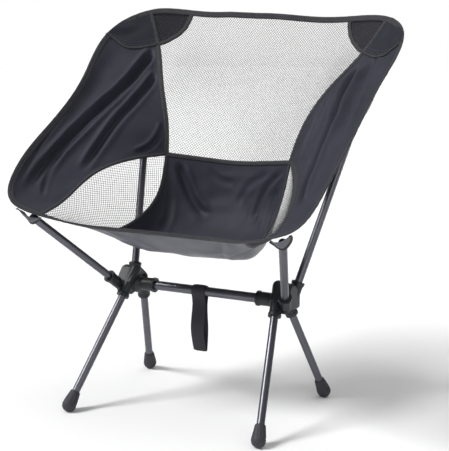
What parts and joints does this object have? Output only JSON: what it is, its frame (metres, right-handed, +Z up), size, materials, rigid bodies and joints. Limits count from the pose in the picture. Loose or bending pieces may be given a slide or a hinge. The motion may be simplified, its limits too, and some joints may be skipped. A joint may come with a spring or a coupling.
{
  "type": "ultralight backpacking chair",
  "caption": "Low take-apart camp chair: a net and cloth sling hung from the tips of four uprights over a crossbar with four splayed legs.",
  "frame": {"origin": "on the floor under the middle of the chair's outline", "axes": "+Z up; -Y is the way the sitter faces; left and right are as seen from in front, so +X is right"},
  "size_m": [0.5782, 0.4462, 0.6548],
  "materials": {
    "tube": "satin anodised, dark grey",
    "rivet": "plain, dull",
    "ferrule": "plain, clear anodised",
    "hub": "moulded glass-filled nylon, matte",
    "plug": "moulded nylon",
    "foot": "moulded rubber, matte",
    "cord": "braided elastic cord",
    "webbing": "woven webbing",
    "cloth": "plain-woven coated nylon",
    "net": "open knitted net",
    "patch": "plain-woven coated nylon, double",
    "binding": "folded woven tape"
  },
  "bodies": {
    "root": {"crossbar": "tube", "hub_rivet_left": "rivet", "hub_left": "hub", "shock_cord_long_left": "cord", "shock_cord_short_left": "cord", "hub_rivet_right": "rivet", "hub_right": "hub", "shock_cord_long_right": "cord", "shock_cord_short_right": "cord"},
    "seat": {"seat_panel": "cloth", "back_net": "net", "wing_panel_left": "cloth", "wing_panel_right": "cloth", "side_net_left": "net", "side_net_right": "net", "corner_patch_left": "patch", "corner_patch_right": "patch", "hem_front": "binding", "hem_top": "binding", "hem_side_left": "binding", "hem_side_right": "binding", "tape_back_left": "binding", "tape_back_right": "binding", "tape_wing_left": "binding", "tape_wing_right": "binding", "tape_seat_side_left": "binding", "tape_seat_side_right": "binding", "tape_seat_back": "binding", "pocket_front_left": "patch", "pocket_front_right": "patch", "pocket_back_left": "patch", "pocket_back_right": "patch"},
    "strap": {"storage_strap": "webbing"},
    "leg_front_left": {"leg_front_left": "tube", "foot_front_left": "foot", "cord_stop_front_left": "plug"},
    "leg_rear_left": {"leg_rear_left": "tube", "foot_rear_left": "foot", "cord_stop_rear_left": "plug"},
    "upright_front_left": {"upright_front_left": "tube", "tip_cap_front_left": "plug"},
    "upright_back_lower_left": {"upright_back_lower_left": "tube", "upright_back_ferrule_left": "ferrule"},
    "upright_back_upper_left": {"upright_back_upper_left": "tube", "tip_cap_back_left": "plug"},
    "leg_front_right": {"leg_front_right": "tube", "foot_front_right": "foot", "cord_stop_front_right": "plug"},
    "leg_rear_right": {"leg_rear_right": "tube", "foot_rear_right": "foot", "cord_stop_rear_right": "plug"},
    "upright_front_right": {"upright_front_right": "tube", "tip_cap_front_right": "plug"},
    "upright_back_lower_right": {"upright_back_lower_right": "tube", "upright_back_ferrule_right": "ferrule"},
    "upright_back_upper_right": {"upright_back_upper_right": "tube", "tip_cap_back_right": "plug"}
  },
  "joints": [
    {"name": "leg_front_left_pull", "type": "slide", "parent": "root", "child": "leg_front_left", "axis": [-0.1504, -0.5932, -0.7909], "range_m": [0, 0.026], "stiffness_N_per_m": 250, "springref_m": -0.12},
    {"name": "leg_rear_left_pull", "type": "slide", "parent": "root", "child": "leg_rear_left", "axis": [-0.1857, 0.4132, -0.8915], "range_m": [0, 0.032], "stiffness_N_per_m": 250, "springref_m": -0.12},
    {"name": "upright_front_left_pull", "type": "slide", "parent": "root", "child": "upright_front_left", "axis": [-0.2971, -0.7139, 0.6341], "range_m": [0, 0.025]},
    {"name": "upright_back_lower_left_pull", "type": "slide", "parent": "root", "child": "upright_back_lower_left", "axis": [-0.1615, 0.4326, 0.887], "range_m": [0, 0.027]},
    {"name": "upright_back_upper_left_pull", "type": "slide", "parent": "upright_back_lower_left", "child": "upright_back_upper_left", "axis": [-0.1615, 0.4326, 0.887], "range_m": [0, 0.036]},
    {"name": "leg_front_right_pull", "type": "slide", "parent": "root", "child": "leg_front_right", "axis": [0.1504, -0.5932, -0.7909], "range_m": [0, 0.026], "stiffness_N_per_m": 250, "springref_m": -0.12},
    {"name": "leg_rear_right_pull", "type": "slide", "parent": "root", "child": "leg_rear_right", "axis": [0.1857, 0.4132, -0.8915], "range_m": [0, 0.032], "stiffness_N_per_m": 250, "springref_m": -0.12},
    {"name": "upright_front_right_pull", "type": "slide", "parent": "root", "child": "upright_front_right", "axis": [0.2971, -0.7139, 0.6341], "range_m": [0, 0.025]},
    {"name": "upright_back_lower_right_pull", "type": "slide", "parent": "root", "child": "upright_back_lower_right", "axis": [0.1615, 0.4326, 0.887], "range_m": [0, 0.027]},
    {"name": "upright_back_upper_right_pull", "type": "slide", "parent": "upright_back_lower_right", "child": "upright_back_upper_right", "axis": [0.1615, 0.4326, 0.887], "range_m": [0, 0.036]},
    {"name": "seat_lift", "type": "slide", "parent": "root", "child": "seat", "axis": [0, 0, 1], "range_m": [0, 0.45]},
    {"name": "strap_swing", "type": "hinge", "parent": "root", "child": "strap", "pos_m": [-0.0105, -0.0269, 0.192], "axis": [1, 0, 0], "range_deg": [-80, 80]}
  ],
  "couplings": [
    {"joint": "upright_front_left_pull", "follows": "seat_lift", "ratio": 0.05555},
    {"joint": "upright_back_lower_left_pull", "follows": "seat_lift", "ratio": 0.05999},
    {"joint": "upright_back_upper_left_pull", "follows": "seat_lift", "ratio": 0.07999},
    {"joint": "upright_front_right_pull", "follows": "seat_lift", "ratio": 0.05555},
    {"joint": "upright_back_lower_right_pull", "follows": "seat_lift", "ratio": 0.05999},
    {"joint": "upright_back_upper_right_pull", "follows": "seat_lift", "ratio": 0.07999}
  ]
}
